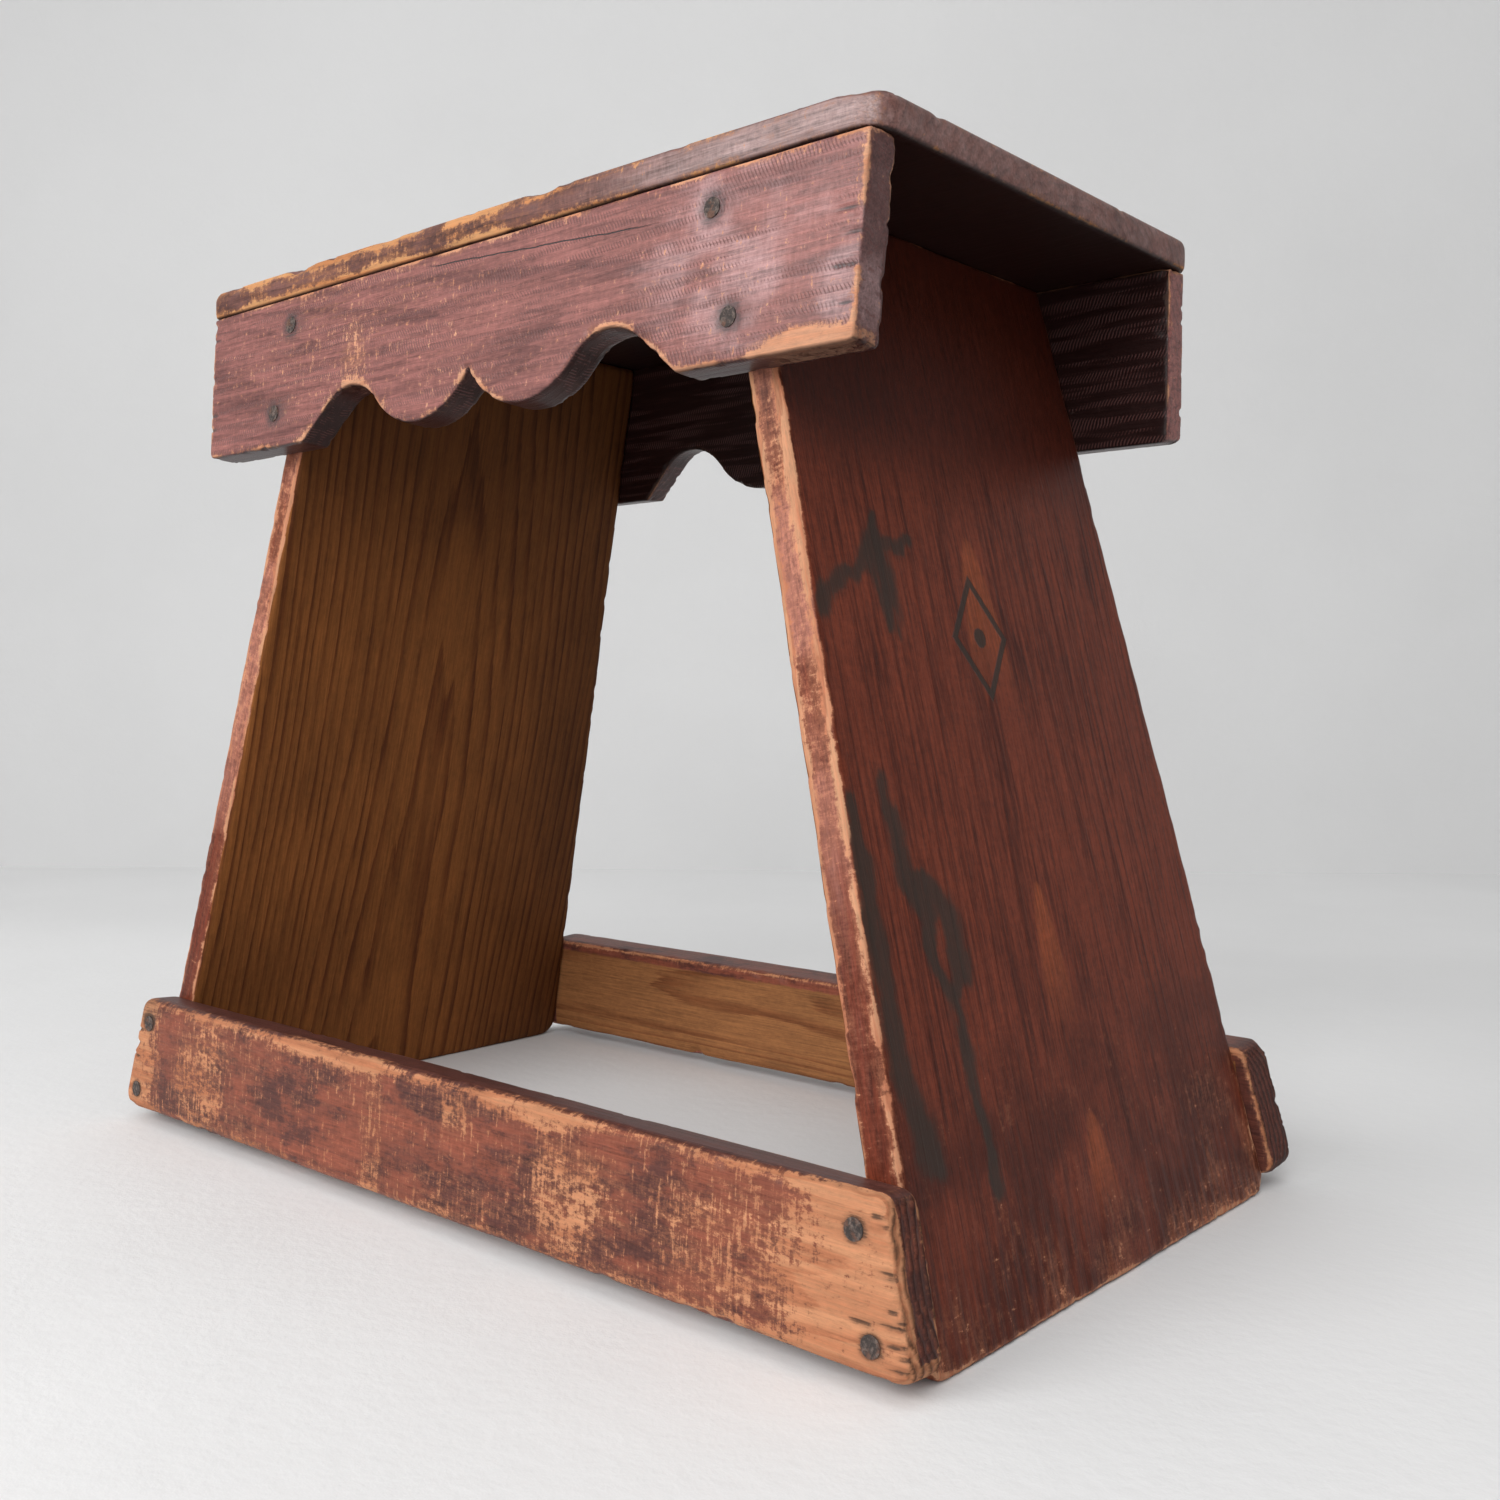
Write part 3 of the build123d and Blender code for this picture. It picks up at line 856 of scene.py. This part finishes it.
def left_outside(board):
    """The left panel's marks, plainer than the right's."""
    glow = pointed_figure(board, 60, -12, 70, 12) + pointed_figure(board, -70, -8, 50, 10)
    return {
        "dirt": board.smear([(-150, -60, 5), (-120, -70, 4), (-95, -66, 2)]) * 0.9,
        "glow": glow * 0.6,
        "deep": smooth_step(board.start[:, 0], 80 * MM, 170 * MM) * 0.7 * (board.face[:, 2] > 0),
        # painted shade on the inner face
        "grime": inner_face_shade(board, 1),
    }


# ---------------------------------------------------------------- the stretchers
STRETCHER_LOOK = Look(
    coat=(0.255, 0.071, 0.040),
    deep_coat_and_shade=(0.085, 0.030, 0.024),
    pale_coat_and_sheen=(0.42, 0.17, 0.11),
    worn=(0.56, 0.27, 0.14),
    worn_deep=(0.37, 0.14, 0.068),
    early=(0.28, 0.117, 0.043),
    late=(0.175, 0.060, 0.021),
    ring_show=0.3,
    threads=0.8,
    patches=0.85,
    patch_size=(38, 19, 19),
    flakes=0.85,
    scratches=0.7,
    scratch_length=12.0,
    gloss=0.45,
    sheen=0.2,
)


def wear_stretcher(node, along, out, seed, marks_of):
    """A stretcher: kicked and scraped by boots, rounded, and rubbed to the wood in patches."""
    board = Board(node, along, out, FINE)
    board.rub(11, least=0.35, most=1.0, lump=[30 * MM] * 3, seed=seed)
    board.chip(60, seed, size=2.2 * MM, depth=0.9 * MM)
    board.sink_nails(0.45 * MM)
    rings = board.rings(pith=(4, -46), tilt=0.02, pitch=3.4, seed=seed)
    ends = np.maximum(board.facing(0, 1), board.facing(0, -1))
    board.erode(rings, ends, 0.6 * MM)
    split_end(board, seed, splits=34)
    marks = marks_of(board)
    marks["dirt"] = marks["dirt"] + board.cuts
    marks["painted"] = marks["painted"] * (1 - 0.3 * ends)
    marks["grime"] = ends * (0.15 + 0.65 * smooth_step(rings % 1, 0.55, 0.8))
    board.finish(
        "stretcher_wood",
        wood("worn_" + node + "_wood", STRETCHER_LOOK),
        rings=rings,
        **marks,
    )


def split_end(board, seed, splits):
    """Short splits and crushed grain where the nails come near the board's ends."""
    draw = np.random.default_rng(seed)
    for turn in range(splits):
        end = board.half[0] * (1 if turn % 3 else -1)
        inward = abs(draw.normal(0, 8)) * MM
        place = (end - np.sign(end) * inward, draw.uniform(-22, 22) * MM, board.half[2])
        shape = (draw.uniform(3, 8) * MM, 1.1 * MM, 3 * MM)
        board.dent(place, shape, draw.uniform(0.4, 1.0) * MM, seed + turn, 0.9)


def front_stretcher_marks(board):
    """The front stretcher: bare at both ends, in patches and along its rims."""
    ends = board.oval(212, 0, 48, 60) * 0.42 + board.oval(-214, 4, 26, 60) * 0.36
    patches = (
        board.oval(-158, 2, 30, 40) * 0.17
        + board.oval(20, 12, 12, 10) * 0.25
        + board.oval(78, 0, 24, 26) * 0.18
        + board.oval(150, 0, 40, 30) * 0.18
        + board.oval(-60, 24, 50, 8) * 0.3
        + board.oval(60, 22, 40, 7) * 0.25
        + board.oval(-30, -4, 10, 40) * 0.2
    )
    rims = board.convex * (0.3 + 0.35 * board.patchy(18 * MM, 62))
    return {
        "bare": rims + ends + patches + 0.22 * board.facing(2, 1) + 0.1 * board.facing(0, 1),
        "painted": np.ones(len(board.start)),
        "deep": board.facing(1, 1) * 0.9 + board.facing(0, 1) * 0.5,
        "dirt": board.nail_stain(6.0, 1.3) * 0.5 + board.oval(-205, 20, 16, 10) * 0.5,
    }


def rear_stretcher_marks(board):
    """The rear stretcher: its inner face never had paint but where it ran over the top edge."""
    inside = board.facing(2, -1, 0.3, 0.6) * (np.abs(board.start[:, 0]) < 206 * MM)
    bleed = smooth_step(board.start[:, 1], 15 * MM, 26 * MM)
    tips = smooth_step(np.abs(board.start[:, 0]), 200 * MM, 208 * MM)
    return {
        "bare": board.convex * 0.6 + 0.05 * board.facing(2, 1),
        "painted": 1 - inside * (1 - bleed),
        "deep": board.facing(1, 1) * 0.5 + tips * 0.7,
        "dirt": board.nail_stain(6.0, 1.3) * 0.5,
    }


# ---------------------------------------------------------------- everything together
RIGHT, LEFT, FRONT, REAR, UP = (1, 0, 0), (-1, 0, 0), (0, -1, 0), (0, 1, 0), (0, 0, 1)
RIGHT_AND_UP, LEFT_AND_UP = (1, 0, 0.25), (-1, 0, 0.25)

wear_seat()
wear_apron("front_apron", RIGHT, FRONT, seed=31, knocked=1.0, crack=((-30, 28), (105, 19)))
wear_apron("rear_apron", LEFT, REAR, seed=47, knocked=0.3, crack=None)
wear_panel("right_side_panel", UP, RIGHT_AND_UP, seed=5, outside=right_outside)
wear_panel("left_side_panel", UP, LEFT_AND_UP, seed=9, outside=left_outside)
wear_stretcher("front_stretcher", RIGHT, FRONT, seed=61, marks_of=front_stretcher_marks)
wear_stretcher("rear_stretcher", LEFT, REAR, seed=77, marks_of=rear_stretcher_marks)

iron = rusty_iron("rusty_nail_iron")
for node_name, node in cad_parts.items():
    if node_name.endswith("_nails"):
        node.data.materials.clear()
        node.data.materials.append(iron)


# ---------------------------------------------------------------- stage, light and camera
CAMERA_SPOT = Vector((0.4606, -0.4750, 0.1977))
CAMERA_YAW, CAMERA_PITCH, CAMERA_ROLL = 41.0, -2.05, 0.3
CAMERA_LENS = 36.6
WALL_DISTANCE = 1.72
STAGE_HALF = 6.0  # half the width of the floor and of the wall


def place_camera():
    """From the stool's right front corner, half as high as the stool."""
    yaw, pitch, roll = (math.radians(turn) for turn in (CAMERA_YAW, CAMERA_PITCH, CAMERA_ROLL))
    ahead = Vector((-math.sin(yaw) * math.cos(pitch), math.cos(yaw) * math.cos(pitch), math.sin(pitch)))
    right = Vector((math.cos(yaw), math.sin(yaw), 0))
    up = right.cross(ahead)
    side = right * math.cos(roll) + up * math.sin(roll)
    top = up * math.cos(roll) - right * math.sin(roll)
    lens = bpy.data.cameras.new("camera")
    lens.lens = CAMERA_LENS
    camera = bpy.data.objects.new("camera", lens)
    camera.matrix_world = Matrix((side, top, -ahead)).transposed().to_4x4()
    camera.location = CAMERA_SPOT
    bpy.context.scene.collection.objects.link(camera)
    bpy.context.scene.camera = camera


def pale_plaster(name, shade):
    """Painted plaster: almost even, with faint clouds and a fine tooth."""
    g = Graph(name)
    place = g.node("TexCoord", {}).outputs["Object"]
    cloud = g.noise(place, (300, 300, 300), 4, 0.55)
    tooth = g.noise(place, (9, 9, 9), 4, 0.6)
    colour = g.mix(g.step(cloud, 0.3, 0.7), tuple(c * 0.96 for c in shade), shade)
    return g.surface(colour, g.total(0.5, (cloud, 0.3)), g.total(0.0, (tooth, 0.35)))


def stage_plane(name, centre, across, up, material):
    """A large plane through centre."""
    turns = ((-1, -1), (1, -1), (1, 1), (-1, 1))
    corners = [centre + (across * a + up * b) * STAGE_HALF for a, b in turns]
    mesh = bpy.data.meshes.new(name)
    mesh.from_pydata([corner[:] for corner in corners], [], [(0, 1, 2, 3)])
    mesh.materials.append(material)
    plane = bpy.data.objects.new(name, mesh)
    bpy.context.scene.collection.objects.link(plane)


def build_stage():
    """A pale floor, and a pale wall square to the view."""
    yaw = math.radians(CAMERA_YAW)
    away = Vector((-math.sin(yaw), math.cos(yaw), 0))
    across = Vector((math.cos(yaw), math.sin(yaw), 0))
    plaster = pale_plaster("pale_plaster", (0.80, 0.80, 0.80))
    wall_paint = pale_plaster("wall_paint", (0.70, 0.70, 0.70))
    stage_plane("floor", Vector((0, 0, 0)), Vector((1, 0, 0)), Vector((0, 1, 0)), plaster)
    wall = Vector((CAMERA_SPOT.x, CAMERA_SPOT.y, 0)) + away * WALL_DISTANCE
    stage_plane("wall", wall, across, Vector((0, 0, 1)), wall_paint)


def soft_light(name, place, aim, size, power, spread=180):
    """A square lamp: size in metres, power in watts, spread in degrees."""
    light = bpy.data.lights.new(name, "AREA")
    light.energy = power
    light.size = size
    light.spread = math.radians(spread)
    lamp = bpy.data.objects.new(name, light)
    lamp.location = place
    lamp.rotation_euler = (Vector(aim) - Vector(place)).to_track_quat("-Z", "Y").to_euler()
    bpy.context.scene.collection.objects.link(lamp)


def light_studio():
    """Soft light from the front and above, and an even grey all round."""
    soft_light("key", (-0.45, -1.7, 1.0), (0.1, 0, 0.1), size=1.1, power=8.5, spread=110)
    soft_light("fill", (1.1, -2.0, 1.6), (0.2, -0.1, 0), size=1.6, power=30)
    soft_light("sky", (0.5, -0.5, 2.4), (0.1, -0.3, 0), size=1.8, power=12)
    world = bpy.data.worlds.new("studio")
    world.use_nodes = True
    world.node_tree.nodes["Background"].inputs[0].default_value = (0.40, 0.40, 0.40, 1)
    bpy.context.scene.world = world
    bpy.context.scene.view_settings.view_transform = "Standard"


place_camera()
build_stage()
light_studio()
